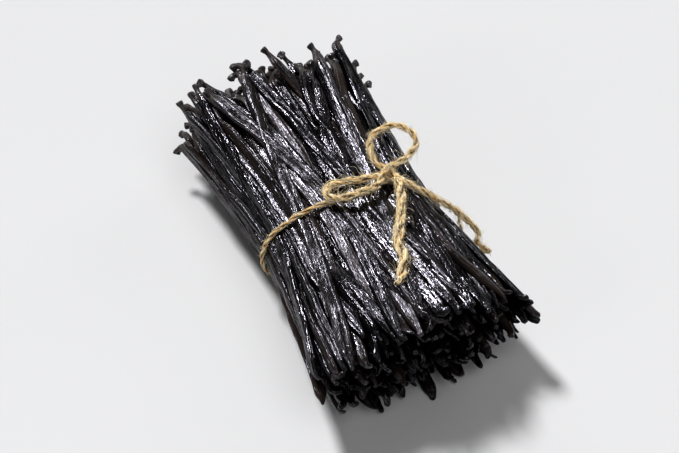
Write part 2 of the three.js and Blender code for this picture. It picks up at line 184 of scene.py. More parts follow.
def grid_faces(things, rings, sides):
    """Faces of tubes that are numbered thing by thing, ring by ring: quads join ring r's corner i to
    corner i + 1 and to ring r + 1, and triangles join the first ring and the last to a tube's two
    poles, which come after its rings."""
    first = np.arange(things)[:, None, None] * (rings * sides + 2)
    r = np.arange(rings - 1)[None, :, None]
    i = np.arange(sides)[None, None, :]
    j = (i + 1) % sides
    here, after = first + r * sides, first + (r + 1) * sides
    quads = together(here + i, here + j, after + j, after + i).reshape(-1, 4)
    pole = first + rings * sides
    last = pole - sides
    triangles = [together(first + j, first + i, pole), together(last + i, last + j, pole + 1)]
    return quads, np.concatenate(triangles).reshape(-1, 3)


def make_piece(name, points, faces, material, fields=None):
    """A smooth mesh from points in millimetres, quads and triangles, riding on the whole. Fields
    are its attributes by name, one number or one vector for each point."""
    quads, triangles = faces
    mesh = bpy.data.meshes.new(name)
    place = metres(points).astype(np.float32)
    mesh.vertices.add(len(place))
    mesh.vertices.foreach_set("co", place.ravel())
    corners = np.concatenate([quads.ravel(), triangles.ravel()]).astype(np.int32)
    mesh.loops.add(len(corners))
    mesh.loops.foreach_set("vertex_index", corners)
    mesh.polygons.add(len(quads) + len(triangles))
    starts = np.concatenate([np.arange(len(quads)) * 4, quads.size + np.arange(len(triangles)) * 3])
    mesh.polygons.foreach_set("loop_start", starts.astype(np.int32))
    mesh.polygons.foreach_set("use_smooth", np.ones(len(starts), bool))
    for field, values in (fields or {}).items():
        kind, key = ("FLOAT_VECTOR", "vector") if np.ndim(values) > 1 else ("FLOAT", "value")
        attribute = mesh.attributes.new(field, kind, "POINT")
        attribute.data.foreach_set(key, values.astype(np.float32).ravel())
    mesh.update(calc_edges=True)
    mesh.materials.append(material)
    piece = put(name, mesh)
    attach(piece, "root")
    return piece


# ---- Materials ----
def linear(code):
    """The linear colour of an sRGB hex code such as 0x1b1517."""
    parts = np.array([code >> 16 & 255, code >> 8 & 255, code & 255]) / 255
    return (*np.where(parts <= 0.04045, parts / 12.92, ((parts + 0.055) / 1.055) ** 2.4), 1.0)


def new_material(name):
    """A material with no nodes yet, and its node tree."""
    material = bpy.data.materials.new(name)
    material.use_nodes = True
    material.node_tree.nodes.clear()
    return material, material.node_tree


def add(tree, kind, links, stops=None, **settings):
    """One node: settings are its options, links what goes into its sockets, which is a value, a
    socket or a node's first output, and stops a colour ramp's places and hex colours."""
    node = tree.nodes.new("ShaderNode" + kind)
    for name, value in settings.items():
        setattr(node, name, value)
    for socket, value in links.items():
        if isinstance(value, bpy.types.Node):
            value = value.outputs[0]
        if isinstance(value, bpy.types.NodeSocket):
            tree.links.new(value, node.inputs[socket])
        else:
            node.inputs[socket].default_value = value
    if stops:
        elements = node.color_ramp.elements
        while len(elements) < len(stops):
            elements.new(0.5)
        for element, (place, colour) in zip(elements, stops):
            element.position = place
            element.color = linear(colour)
    return node


def attributes(tree, prefix, names):
    """A mesh's attributes of one number each."""
    return [add(tree, "Attribute", {}, attribute_name=prefix + name).outputs["Fac"]
            for name in names]


def drawn_out(tree, field, long, wide, detail):
    """Noise at the places in a field of the mesh, long mm to a patch along and wide mm across."""
    place = add(tree, "Attribute", {}, attribute_name=field).outputs["Vector"]
    scaled = add(tree, "Mapping", {"Vector": place, "Scale": (1 / long, 1 / wide, 1 / wide)})
    return add(tree, "TexNoise", {"Vector": scaled, "Scale": 1.0, "Detail": detail})


def give_surface(tree, sockets):
    """Ends a material's tree with one principled shader whose sockets are given."""
    add(tree, "OutputMaterial", {"Surface": add(tree, "BsdfPrincipled", sockets)})


# The skin's patterns: how long along a pod and how wide across it each is, mm, how much detail it
# has, and how deep it is pressed in, mm. Real wrinkles and grain are too fine to show, so they are
# drawn as coarse as showing them needs.
SKIN_PATTERNS = {
    "creases": (9.0, 0.5, 1.0, 0.18),
    "wrinkles": (2.0, 0.45, 2.0, 0.10),
    "grain": (1.2, 0.32, 0.0, 0.10),
    "patches": (30.0, 4.0, 2.0, 0.0),
}


def pod_skin():
    """Cured vanilla pod: a fruit sweated and dried until its skin is almost black, creased
    lengthwise and shining with its own oil."""
    material, tree = new_material("cured_vanilla_pod_skin")
    tone, gloss, lit = attributes(tree, "pod_", ("tone", "gloss", "lit"))
    pattern, relief = {}, {}
    for name, (long, wide, detail, depth) in SKIN_PATTERNS.items():
        pattern[name] = drawn_out(tree, "pod_place", long, wide, detail)
        if depth:
            bump = add(tree, "Bump", {
                "Height": pattern[name], "Strength": 1.0, "Distance": depth * MM, **relief})
            relief = {"Normal": bump}

    # Colour: nearly black, browner on some pods, in patches along them and on dried stems.
    brown = add(tree, "Math", {0: pattern["patches"], 1: tone}, operation="MULTIPLY")
    colour = add(tree, "ValToRGB", {"Fac": brown}, stops=[
        (0.0, 0x040404), (0.3, 0x090707), (0.65, 0x29211E), (1.0, 0x38332F)])

    # Shine: the oilier the pod and the higher the ridge, the smoother the skin. How much it throws
    # back also goes by how much light gets to it, and the grain breaks it up into glints.
    ridges = add(tree, "Mix", {0: 0.35, 2: pattern["creases"], 3: pattern["wrinkles"]})
    oily = add(tree, "Math", {0: gloss, 1: 0.2, 2: ridges}, operation="MULTIPLY_ADD")
    rough = add(tree, "MapRange", {
        "Value": oily, "From Min": 0.44, "From Max": 0.68, "To Min": 0.4, "To Max": 0.1})
    glint = add(tree, "Mix", {0: 0.55, 2: pattern["grain"], 3: pattern["creases"]})
    glint = add(tree, "MapRange", {
        "Value": glint, "From Min": 0.42, "From Max": 0.58, "To Min": 0.1, "To Max": 1.0})
    level = add(tree, "Math", {0: glint, 1: lit}, operation="MULTIPLY")
    give_surface(tree, {
        "Base Color": colour, "Roughness": rough, "IOR": 1.55,
        "Specular IOR Level": level, "Specular Tint": linear(0xF4F0FF), **relief})
    return material


def pod_shadow():
    """Cured vanilla pods packed close: the bundle's matt core, which only shows as darkness."""
    material, tree = new_material("cured_vanilla_pods_packed_close")
    place = add(tree, "TexCoord", {}).outputs["Object"]
    noise = add(tree, "TexNoise", {"Vector": place, "Scale": 300.0, "Detail": 2.0})
    colour = add(tree, "ValToRGB", {"Fac": noise}, stops=[(0.3, 0x080607), (0.7, 0x120D0E)])
    give_surface(tree, {"Base Color": colour, "Roughness": 0.7})
    return material


def jute():
    """Jute twine: bast fibres combed and spun into plies, dry and matt, with a faint silkiness along
    each fibre. Every bunch of fibres has its own tone, and painted shade darkens those that lie
    inside the twine, in the hollows between its plies."""
    material, tree = new_material("spun_jute_twine")
    tone, depth = attributes(tree, "fibre_", ("tone", "depth"))
    # Bunches of fibres 0.2 mm across and 5 mm long, in patches of shade 6 mm long. The skin of a
    # single fibre is too fine to show.
    fibres = drawn_out(tree, "fibre_place", 5, 0.2, 2.0)
    patches = drawn_out(tree, "fibre_place", 6, 1.5, 2.0)
    shade = add(tree, "Mix", {0: 0.6, 2: fibres, 3: patches})
    shade = add(tree, "Mix", {0: 0.5, 2: shade, 3: tone})
    colour = add(tree, "ValToRGB", {"Fac": shade}, stops=[
        (0.25, 0x9A5E18), (0.42, 0xE4B86A), (0.58, 0xFFF0CA)])
    # Painted shade: dark brown mixed in by how far inside the twine a bunch lies.
    painted_hollow_shade = add(tree, "Mix", {0: depth, 6: colour, 7: linear(0x58320A)}, data_type="RGBA")
    bump = add(tree, "Bump", {"Height": fibres, "Strength": 1.0, "Distance": 0.12 * MM})
    give_surface(tree, {
        "Base Color": painted_hollow_shade.outputs[2], "Roughness": 0.68, "Sheen Weight": 0.08,
        "Sheen Roughness": 0.4, "Normal": bump})
    return material


POD_SKIN = pod_skin()
POD_SHADOW = pod_shadow()
JUTE = jute()


# ---- The twine's free cords ----
# The bow's loops and tails, as they lie: points of their middle lines.
CORDS = {
    "twine_loop_upright": [
        [-2.6, 18.2, 56.3], [-5.2, 16.7, 57], [-8.4, 16.3, 58.2], [-11.1, 16.7, 59.3],
        [-13.8, 18, 60.5], [-16, 19.9, 61.7], [-17.2, 22.9, 62.7], [-17.3, 26.9, 63.5],
        [-16.1, 31.5, 63.9], [-12.8, 35.3, 63.3], [-9.1, 37.1, 62.3], [-5.3, 36.5, 60.7],
        [-2.7, 33.4, 59.2], [-1.2, 29.4, 57.9], [-1, 25.9, 57.2], [-0.7, 23, 56.5],
    ],
    "twine_loop_flat": [
        [-0.2, 14.4, 54.5], [-0.5, 10.9, 54.7], [-1.3, 7.4, 54.5], [-2.2, 3.9, 54.8],
        [-3.1, 0.5, 54.7], [-4, -3, 54.4], [-4.1, -6.1, 54.1], [-2.9, -8.5, 54.2],
        [-0.1, -10.1, 55.4], [3.2, -10.1, 56.5], [5.5, -8.1, 57], [6.7, -5.3, 57.2],
        [7.5, -2.3, 57.6], [7.9, 1, 57.7], [7.6, 4.8, 57.5], [7, 8.8, 57], [6.1, 12.4, 56.2],
    ],
    "twine_tail_front": [
        [3.8, 21.2, 54.9], [7.6, 21.5, 55.2], [12.2, 20.1, 55], [16, 18.2, 54.6],
        [19.7, 16.2, 54.2], [23.9, 13.9, 53.9], [28.9, 10.9, 54.2], [33.7, 8, 54.9],
        [37, 5.3, 54.9], [40.6, 4.7, 55.3], [44.1, 4.5, 55.7], [48.3, 2.2, 55.7],
        [52.8, -0.7, 55.7], [55.7, -2.9, 55.6], [57.7, -5, 55.1],
    ],
    "twine_tail_side": [
        [4.2, 24.1, 52], [7.6, 26, 51.8], [10.5, 28.5, 50.8], [12.8, 30.8, 49.3],
        [14.5, 33.5, 46.9], [16.5, 36.9, 44.1], [18.3, 40.4, 41.1], [20, 43.4, 37.8],
        [21.6, 46.1, 34.6], [23, 48.6, 31.4], [24.6, 50.5, 28.6], [26.4, 52.3, 26],
        [27.9, 53, 23.8], [29.3, 50.6, 22.6], [32, 52.2, 20.2], [34.2, 55.4, 17.2],
    ],
}
TWINE_DIAMETER = 2.6
UP = (0, 0, 1)
# Each cord's length, what its far end is, the radius that its plies fill, how long one turn of them
# is, how loosely it is spun, a direction that it never runs along, and the lines of any spurs, which
# are thin strands that have come away from it.
CORD_FACTS = {
    "twine_loop_upright": {
        "length": 57, "far_end": "object", "radius": 1.35, "pitch": 12, "loose": 1.5,
        "across": UP},
    "twine_loop_flat": {
        "length": 55, "far_end": "object", "radius": 1.45, "pitch": 15, "loose": 2.0,
        "across": UP},
    "twine_tail_front": {
        "length": 62, "far_end": "bare", "radius": 1.9, "pitch": 22, "loose": 2.0,
        "across": UP},
    "twine_tail_side": {
        "length": 61, "far_end": "bare", "radius": 1.35, "pitch": 13, "loose": 1.5,
        "across": (1, 0, 0), "spurs": [[
            [20.6, 44.6, 36.2], [21.3, 45.0, 34.8], [22.6, 44.6, 33.6], [24.0, 44.1, 32.8],
            [25.6, 44.0, 31.2], [26.2, 44.4, 29.6]]]},
}
SPUR = {"radius": 0.55, "pitch": 7, "loose": 1.5}  # how a spur is spun
LINE_STEP = 0.4

# A twine is plies, and a ply is a core and the bunches of fibres wound round it. A part's radius
# and how far out it is are shares of the radius of what it is part of. A ply's pitch is how long
# one turn of its bunches is in a twine of the true diameter; a bunch has rings a step apart.
PLIES = 2
PLY = {"radius": 0.56, "out": 0.50, "pitch": 11.0}
BUNCH = {"count": 11, "radius": (0.24, 0.40), "out": 0.72, "step": 0.8, "sides": 5}
CORE_RADIUS = 0.6
# How much of a cut end comes apart, mm, and how far apart and how much thinner its bunches get.
FRAY = {"reach": 5.0, "apart": 0.35, "thinner": 0.45}
CUT, CORE_CUT = (1.0, -1.2), -0.4  # how far past the end the bunches are cut, and the core, mm

# Fibres that have come away: how many mm of twine there are for each, how long they are, how far
# they rise, their radius, which is coarser than a real fibre's so that they show, how finely they
# are drawn, whether they return to the twine, and the most that they stand off its middle line.
WISPS = {"each": 2.6, "length": (5, 13), "rise": (0.15, 0.9), "radius": (0.08, 0.15),
         "rings": 13, "sides": 4, "returns": True, "most": 3.4}
HAIRS = {"each": 0.35, "length": (1.2, 5.5), "rise": (0.3, 2.0), "radius": (0.07, 0.07),
         "rings": 7, "sides": 3, "returns": False, "most": 3.4}
FLYAWAY = {"each": 1.3, "length": (3, 10), "rise": (0.8, 5.0), "radius": (0.085, 0.085),
           "rings": 11, "sides": 3, "returns": False, "most": 6.0}
SURFACE = 0.86  # share of the twine's radius from which they rise
MOST_SPREAD = 2.9  # how far bunches spread from the middle line at a cut end
LOWEST, HIGHEST, FURTHEST_RIGHT = 0.05, 66.3, 58.5  # no such fibre goes beyond these z's and y


def fibre_tubes(line, across, s, reach, angle, radius, sides):
    """Thin tubes that run along a line. Tube by tube and ring by ring, s is the length along the
    line, and the ring's middle stands reach away from the line at an angle round it, which is 0 in
    the direction of the cross product of across and the line's own. The ring is a circle of the
    given radius square to the tube. Gives [tube, ring, side, (x, y, z)]."""
    ahead = unit(np.gradient(line, axis=0))
    first = unit(np.cross(np.asarray(across, float), ahead))
    second = np.cross(ahead, first)
    along = length_along(line)
    over = np.clip(s, 0, along[-1])[..., None]
    at = [together(*(np.interp(s, along, v) for v in vectors.T))
          for vectors in (line, first, second)]
    end_way = np.where(s[..., None] > along[-1], unit(line[-1] - line[-2]), unit(line[1] - line[0]))
    middle = at[0] + (s[..., None] - over) * end_way
    c, d = np.cos(angle)[..., None], np.sin(angle)[..., None]
    middle = middle + reach[..., None] * (c * at[1] + d * at[2])
    way = unit(np.gradient(middle, axis=1))
    round_it = c * at[2] - d * at[1]
    side = unit(np.cross(round_it, way))
    up = np.cross(way, side)
    a = (TURN * np.arange(sides) / sides)[:, None]
    ring = np.cos(a) * side[:, :, None] + np.sin(a) * up[:, :, None]
    return middle[:, :, None] + radius[..., None, None] * ring


def plies(line, across, facts, k, cut=False):
    """The plies of a twine, wound round its line. With s along the line, ply p stands at the angle
    TURN (s / pitch + p / PLIES), and bunch j goes round the ply at TURN (j / count - s / ply
    pitch); radii and angles wander along s. At a cut end the bunches spread and thin out."""
    total = length_along(line)[-1]
    number = np.arange(PLIES * (BUNCH["count"] + 1))[:, None]
    ply, bunch = np.divmod(number, BUNCH["count"] + 1)
    core = bunch == BUNCH["count"]
    seed = 100 * k + number
    longer = np.where(core, CORE_CUT, mix(*CUT, chance(seed, 1))) if cut else 0.0 * seed
    s = np.linspace(0, 1, int(total / BUNCH["step"]) + 2)[None] * (total + longer)

    loose = facts["loose"]
    ply_radius = facts["radius"] * PLY["radius"]
    ply_seed = 40 * k + ply
    ply_out = facts["radius"] * PLY["out"] * (1 + wobble("ply_out", s, ply_seed, 2, loose))
    ply_angle = TURN * (s / facts["pitch"] + ply / PLIES) + wobble("ply_angle", s, ply_seed, 5, loose)
    ply_pitch = PLY["pitch"] * facts["radius"] / (TWINE_DIAMETER / 2)
    wound = TURN * (bunch / BUNCH["count"] - s / ply_pitch) + wobble("bunch_angle", s, seed, 8, loose)
    out = ply_radius * (BUNCH["out"] + wobble("bunch_out", s, seed, 11, loose))
    thick = ply_radius * mix(*BUNCH["radius"], chance(seed, 14))
    thick = thick * (1 + wobble("bunch_radius", s, seed, 15))
    out, thick = np.where(core, 0, out), np.where(core, CORE_RADIUS * ply_radius, thick)

    x = ply_out * np.cos(ply_angle) + out * np.cos(wound)
    y = ply_out * np.sin(ply_angle) + out * np.sin(wound)
    fray = smooth((s - total + FRAY["reach"]) / FRAY["reach"]) if cut else np.zeros_like(s)
    apart = 1 + FRAY["apart"] * fray * (1 + wobble("frayed", s, seed, 18))
    thick = thick * (1 - FRAY["thinner"] * fray)
    reach, angle = np.minimum(np.hypot(x, y) * apart, MOST_SPREAD), np.arctan2(y, x)
    surface = fibre_tubes(line, across, s, reach, angle, thick, BUNCH["sides"])
    # Painted shade: the further inside the twine a bunch lies, in the hollows between plies, the
    # darker it is coloured.
    depth = 1 - smooth((reach / facts["radius"] - 0.28) / 0.5)
    tone = 0.5 + 0.45 * (chance(seed, 21) - 0.5)
    return surface, s + 31 * seed, thick, depth, np.broadcast_to(tone, s.shape)


def loose_fibres(line, across, facts, k, kind):
    """Fibres that have come away from the twine. Each starts at a random place on it, and with t
    from 0 to 1 along it rises from the surface by sin(pi t) where it returns, or t^1.4 where its
    end is free, while it drifts along and round the twine; it thins towards its free ends."""
    returns = kind["returns"]
    total = length_along(line)[-1]
    count = max(3, int(facts["loose"] * total / kind["each"]))
    seed = 1000 * k + np.arange(count)[:, None] + (300 if returns else 0)
    t = np.linspace(0, 1, kind["rings"])[None]
    length = mix(*kind["length"], chance(seed, 1) ** 1.5)
    run = length if returns else length * mix(0.35, 1.0, chance(seed, 4))
    start = chance(seed, 3) * (total - (run if returns else 0))
    onward = np.where(chance(seed, 2) > 0.3, 1.0, -1.0)
    onward = np.where(start > total - run, -1.0, onward)
    onward = np.where((start < run) | returns, 1.0, onward)
    s = start + onward * run * t

    rise = mix(*kind["rise"], chance(seed, 5) ** 1.6) * facts["loose"] ** 0.5
    lift = np.sin(np.pi * t) if returns else t ** 1.4
    reach = facts["radius"] * SURFACE + rise * lift * (1 + wobble("rise", t * 10, seed, 6))
    reach = np.minimum(reach, kind["most"])
    turned = TURN / facts["pitch"] * length * mix(0.3, 1.1, chance(seed, 9))
    spin = turned if returns else 2.4 * (chance(seed, 9) - 0.5)
    angle = TURN * chance(seed, 10) + spin * t + wobble("fibre_angle", t * 10, seed, 11)
    thin = np.sin(np.pi * np.clip(t, 0.06, 0.94)) ** 0.5 if returns else 1 - 0.6 * t
    thick = mix(*kind["radius"], chance(seed, 14)) * thin
    surface = fibre_tubes(line, across, s, reach, angle, thick, kind["sides"])
    surface[..., 1] = np.minimum(surface[..., 1], FURTHEST_RIGHT)
    surface[..., 2] = np.clip(surface[..., 2], LOWEST, HIGHEST)
    tone = np.broadcast_to(0.55 + 0.4 * chance(seed, 15), s.shape)
    # Loose fibres get no painted shade.
    return surface, s + 31 * seed, thick, np.zeros_like(s), tone


def spun(line, across, facts, k, cut=False):
    """All the tubes of a length of twine: its plies, its wisps and its hairs."""
    loose = [loose_fibres(line, across, facts, k, kind) for kind in (WISPS, HAIRS)]
    return [plies(line, across, facts, k, cut)] + loose


def make_twine(name, lots):
    """One piece of twine from lots of tubes. Its attributes are the place on a fibre, as the length
    along it and the radius times (cos a, sin a), the depth in the twine, which the material turns
    into painted shade, and the tone."""
    done, first = [], 0
    for surface, along, thick, depth, tone in lots:
        sides = surface.shape[2]
        a = TURN * np.arange(sides) / sides
        parts = [np.repeat(part[..., None], sides, axis=2) for part in (along, depth, tone)]
        place = together(parts[0], thick[..., None] * np.cos(a), thick[..., None] * np.sin(a))
        values = [with_poles(part) for part in (surface, place, parts[1], parts[2])]
        done.append(values + [faces + first for faces in grid_faces(*surface.shape[:3])])
        first += len(values[0])
    points, places, painted_hollow_shades, tones, quads, triangles = (np.concatenate(part) for part in zip(*done))
    return make_piece(name, points, (quads, triangles), JUTE,
                      {"fibre_place": places, "fibre_depth": painted_hollow_shades, "fibre_tone": tones})


def make_cords():
    """The bow's two loops and two tails, each in its CAD tube's place, with the fibres and strands
    that have come away from it as a second piece."""
    for k, (name, facts) in enumerate(CORD_FACTS.items()):
        line = smooth_line(CORDS[name], LINE_STEP)
        cord = make_twine(name + "_spun",
                          spun(line, facts["across"], facts, k + 1, facts["far_end"] == "bare"))
        loose = [loose_fibres(line, facts["across"], facts, k + 41, FLYAWAY)]
        for spur in facts.get("spurs", []):
            loose += spun(smooth_line(spur, LINE_STEP), UP, SPUR, k + 51, True)
        flyaway = make_twine(name + "_flyaway_fibres", loose)
        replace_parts(cord, name)
        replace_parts(flyaway, name)


make_cords()


# ---- Where the pods lie ----
POD_COUNT = 190
POD_HALF_WIDTH = (2.2, 3.3)
POD_FLATNESS = (0.56, 0.74)  # half thickness over half width
# A pod's stem and tip: where the body ends, how long and thick they are, mm, how far they bend
# aside, radians, and over what length the body narrows to them.
STEM = {"body_end": (-83, -63), "length": 12, "radius": 1.15, "bend": (0.2, 2.3), "shoulder": 12}
TIP = {"body_end": (65, 76), "length": 8.0, "radius": 1.4, "bend": (0.1, 2.3), "shoulder": 8}
WAIST = np.array([40, 24, 22.6])  # half sizes at the twine: across, up and down
STEM_SIDE = np.array([48, 28.5, 28.5])  # and where the stems begin
TIP_SIDE = np.array([50.5, 28.5, 28.5])  # and where the tips do
WIDENING = 1.2  # the power by which the bundle widens from its waist
ROUND_TOP, FLAT_BASE = 2, 2.7  # powers of the outline's superellipse
FLOOR_BITE = 0.4  # how deep the lowest pods are pressed flat by what they lie on
CROSSING = 0.9  # how widely pods spread in going further round towards an end, radians
TILT, TWIST = 1.0, 1.3  # and in how their flats lean, and turn along them
STATIONS = 14
FIRST_X = STEM["body_end"][0] - 1
LAST_X = TIP["body_end"][1] + 1
STATION_X = np.linspace(FIRST_X, LAST_X, STATIONS)
SETTLING_ROUNDS = 70
PUSH = 0.3  # share of an overlap by which pods move apart in a round
STIFFNESS = 0.3  # share by which a pod straightens in a round
MOST_REACH = 6.5  # pods further apart than this across or up, mm, are left alone
MOST_MOVE = 1  # mm in a round

# Pods that lie across the others: where round the bundle they are at the twine, degrees from its
# right side; how much further round they are at their stems and at their tips; and how far they
# stand out there, in thicknesses.
LAID_ACROSS = [(101, 28, -6, 0.95, 0.1), (70, -8, 24, 0.9, 0.1), (125, -20, 10, 0.8, 0.8),
               (84, 19, -16, 0.9, 0.1), (50, -10, 20, 0.9, 0.1), (150, -14, 15, 0.5, 0.9),
               (26, 15, -9, 0.9, 0.1)]
LIFT_AT_TWINE = 0.1

POD = np.arange(POD_COUNT)
EVERY_POD = np.arange(POD_COUNT + len(LAID_ACROSS))
HALF_WIDTH = mix(*POD_HALF_WIDTH, chance(EVERY_POD, 1))
HALF_THICKNESS = HALF_WIDTH * mix(*POD_FLATNESS, chance(EVERY_POD, 2))


def outward(x):
    """0 at the twine and 1 at the ends."""
    return np.abs(x / np.where(x < 0, FIRST_X, LAST_X))


def bundle_size(x):
    """Half sizes of the bundle at x, across, up and down: from the waist's to the end's with a power
    of the way outward."""
    x = np.asarray(x, float)[..., None]
    size = mix(WAIST, np.where(x < 0, STEM_SIDE, TIP_SIDE), outward(x) ** WIDENING)
    return size[..., 0], size[..., 1], size[..., 2]


def outward_angle(y, z, x):
    """The direction out of the bundle at a point of its section at x, as an angle."""
    across, up, _ = bundle_size(x)
    return np.arctan2(z * across**2, y * up**2)


def grow_pods():
    """Each pod on a sunflower pattern, k golden angles round and sqrt(k / count) of the way out,
    turned a little towards each end so that pods cross. Gives [pod, station, (y, z)]."""
    rim = np.sqrt((POD + 0.5) / POD_COUNT)[:, None]
    turns = [CROSSING * (chance(POD, 3 + e) - 0.5) * (0.35 + chance(POD, 5 + e)) for e in (0, 1)]
    turn = np.where(STATION_X < 0, turns[0][:, None], turns[1][:, None])
    angle = (POD * np.pi * (3 - np.sqrt(5)))[:, None] + turn * outward(STATION_X)
    across, up, _ = bundle_size(STATION_X)
    t = HALF_THICKNESS[POD][:, None]
    y = (across - t) * rim * np.cos(angle)
    z = MIDDLE_Z + (up - t) * rim * np.sin(angle)
    return together(y, z)


def push_apart(route):
    """Pods push each other apart wherever they overlap, by a share of the overlap, as flat things
    that lie along the bundle's surface: the offset between two is measured in sums of their half
    thicknesses and half widths. They stay inside the outline and above the ground."""
    y, z = route[..., 0], route[..., 1]
    facing = outward_angle(y, z - MIDDLE_Z, STATION_X)
    dy, dz = y[:, None] - y[None], z[:, None] - z[None]
    ny = np.cos(facing)[:, None] + np.cos(facing)[None]
    nz = np.sin(facing)[:, None] + np.sin(facing)[None]
    n = np.sqrt(ny**2 + nz**2) + 1e-9
    w, t = HALF_WIDTH[POD][:, None], HALF_THICKNESS[POD][:, None]
    into = (dy * ny + dz * nz) / n / (t[:, None] + t[None])
    across = (dy * nz - dz * ny) / n / (w[:, None] + w[None])
    apart = np.sqrt(into**2 + across**2) + 1e-9
    near = (apart < 1) & (np.abs(dy) <= MOST_REACH) & (np.abs(dz) <= MOST_REACH)
    near &= ~np.eye(POD_COUNT, dtype=bool)[..., None]
    give = np.where(near, PUSH * (1 / apart - 1), 0)
    y = y + np.clip((dy * give).sum(1), -MOST_MOVE, MOST_MOVE)
    z = z + np.clip((dz * give).sum(1), -MOST_MOVE, MOST_MOVE) - MIDDLE_Z
    width, up, down = bundle_size(STATION_X)
    below = z < 0
    power = np.where(below, FLAT_BASE, ROUND_TOP)
    height = np.where(below, down, up)
    out = (np.abs(y / (width - t)) ** power + np.abs(z / (height - t)) ** power) ** (1 / power)
    out = np.maximum(1, out)
    return together(y / out, np.maximum(z / out + MIDDLE_Z, t - FLOOR_BITE))


def straighten(route):
    """A pod is springy: each of its points moves towards the line through its neighbours."""
    straight = np.empty_like(route)
    straight[:, 1:-1] = (route[:, :-2] + route[:, 2:]) / 2
    straight[:, 0] = 2 * route[:, 1] - route[:, 2]
    straight[:, -1] = 2 * route[:, -2] - route[:, -3]
    return route + STIFFNESS * (straight - route)


def lay_across():
    """Pods laid across: each goes round the bundle's outline by an angle that grows with the way
    outward, and stands out of it by a share of its thickness."""
    at, stem, tip, stem_lift, tip_lift = np.array(LAID_ACROSS, float).T[:, :, None]
    out = outward(STATION_X)
    stem_side = STATION_X < 0
    angle = np.radians(at + np.where(stem_side, stem, tip) * out)
    lift = mix(LIFT_AT_TWINE, np.where(stem_side, stem_lift, tip_lift), out)
    stands = HALF_THICKNESS[POD_COUNT:, None] * (2 * lift - 1)
    across, up, _ = bundle_size(STATION_X)
    route = together((across + stands) * np.cos(angle), MIDDLE_Z + (up + stands) * np.sin(angle))
    return straighten(straighten(route))


settled = grow_pods()
for _ in range(SETTLING_ROUNDS):
    settled = straighten(push_apart(settled))
ROUTES = np.concatenate([settled, lay_across()])


def route_at(k, x):
    """The middles of pods k at x, as y and z, on a Catmull-Rom curve through their stations.
    k and x are arrays that broadcast together."""
    at = np.clip((x - FIRST_X) / (STATION_X[1] - STATION_X[0]), 0, STATIONS - 1.001)
    i = np.floor(at).astype(int)
    t = (at - i)[..., None]
    p = [ROUTES[k, np.clip(i + d, 0, STATIONS - 1)] for d in (-1, 0, 1, 2)]
    curve = 2 * p[0] - 5 * p[1] + 4 * p[2] - p[3] + t * (3 * (p[1] - p[2]) + p[3] - p[0])
    place = p[1] + 0.5 * t * (p[2] - p[0] + t * curve)
    return place[..., 0], place[..., 1]


def flat_angle(k, x):
    """The flat of a pod lies along the bundle's surface, give or take a tilt, and turns along it."""
    y, z = route_at(k, np.zeros_like(x))
    tilt = TILT * (chance(k, 7) - 0.5)
    twist = TWIST * (chance(k, 8) - 0.5) * x / LAST_X
    return outward_angle(y, z - MIDDLE_Z, 0.0) + np.pi / 2 + tilt + twist


def body_end(k, end):
    """Where a pod's body ends and its stem (end -1) or tip (end 1) begins."""
    shape = STEM if end < 0 else TIP
    return mix(*shape["body_end"], chance(k, 9 if end < 0 else 10))


def body_size(k, x):
    """Half width and half thickness of a pod's body at x: full, narrowing over the shoulders."""
    stem_side = x < 0
    shoulder = np.where(stem_side, STEM["shoulder"], TIP["shoulder"])
    radius = np.where(stem_side, STEM["radius"], TIP["radius"])
    ends = np.where(stem_side, body_end(k, -1), body_end(k, 1))
    full = smooth(np.abs(ends - x) / shoulder)
    return mix(radius, HALF_WIDTH[k], full), mix(radius, HALF_THICKNESS[k], full)


# ---- The pods' surfaces ----
# Furrows along a pod: how many round it and how deep, mm.
FURROWS = [(3, 0.26), (5, 0.32), (7, 0.24), (9, 0.13), (11, 0.09), (13, 0.06)]
# The stem end, mm from its cut inward: a knob, a neck, and shoulders where it swells to the body.
KNOB = {"radius": (1.4, 2.0), "length": 2.6, "slope": 1.8}
NECK = {"radius": (0.9, 1.3), "length": (1.0, 6.0), "shoulder": (4, 18)}
# The cut, with a rounded edge and a slightly hollow face: mm past the stem's length, and shares of
# its radius.
CUT_PAST, CUT_SHARES = np.array([0.25, 0.28, 0.0]), [0.86, 0.6, 0.3]
# The tip, mm from its end inward: a blunt nose that rounds off, and shoulders.
NOSE = {"radius": (0.5, 1.4), "length": (0.2, 3.0), "shoulder": (5, 17), "rounding": 1.2}
ROUNDED_AT = np.radians([72, 54, 38, 24, 12])  # of a quarter circle, the rings of the rounding
BEND_START = 0.35  # how much of a stem or tip is straight before it bends
FULLER = 1.05  # pods are drawn a little wider than their spacing, so they lap over each other
SECTION_POWER = 2.8  # of a section's superellipse, fuller than an ellipse's 2
PATTERN_LENGTH = 2000  # mm of skin pattern, from which each pod gets a stretch
DRY_STEM = {"reach": 9.0, "browner": 1.6, "duller": 1.0}  # a stem dries out over its reach, mm
SHINE = (0.6, 1.7)  # how much light the skin throws back, on the dullest pod and the oiliest
# How finely pods are drawn: steps of the stem, of the body and of the tip, and sides.
FINE, COARSER, COARSEST = (15, 66, 4, 60), (13, 52, 4, 24), (13, 10, 4, 18)


def skin_relief(k, s, a):
    """Height of the skin over a pod's plain section, mm: the sum over the furrows of depth times
    |sin((m a + phase) / 2)| - 2 / pi, which is round ridges with sharp furrows between. The phase
    wanders along the pod, and each set comes and goes."""
    relief = 0
    for j, (m, depth) in enumerate(FURROWS):
        phase = TURN * chance(k, 40 + j) + wobble("furrow_phase", s, k, 50 + 3 * j)
        strength = 0.8 + wobble("furrow_depth", s, k, 70 + 3 * j)
        relief = relief + depth * strength * (np.abs(np.sin((m * a + phase) / 2)) - 2 / np.pi)
    return relief


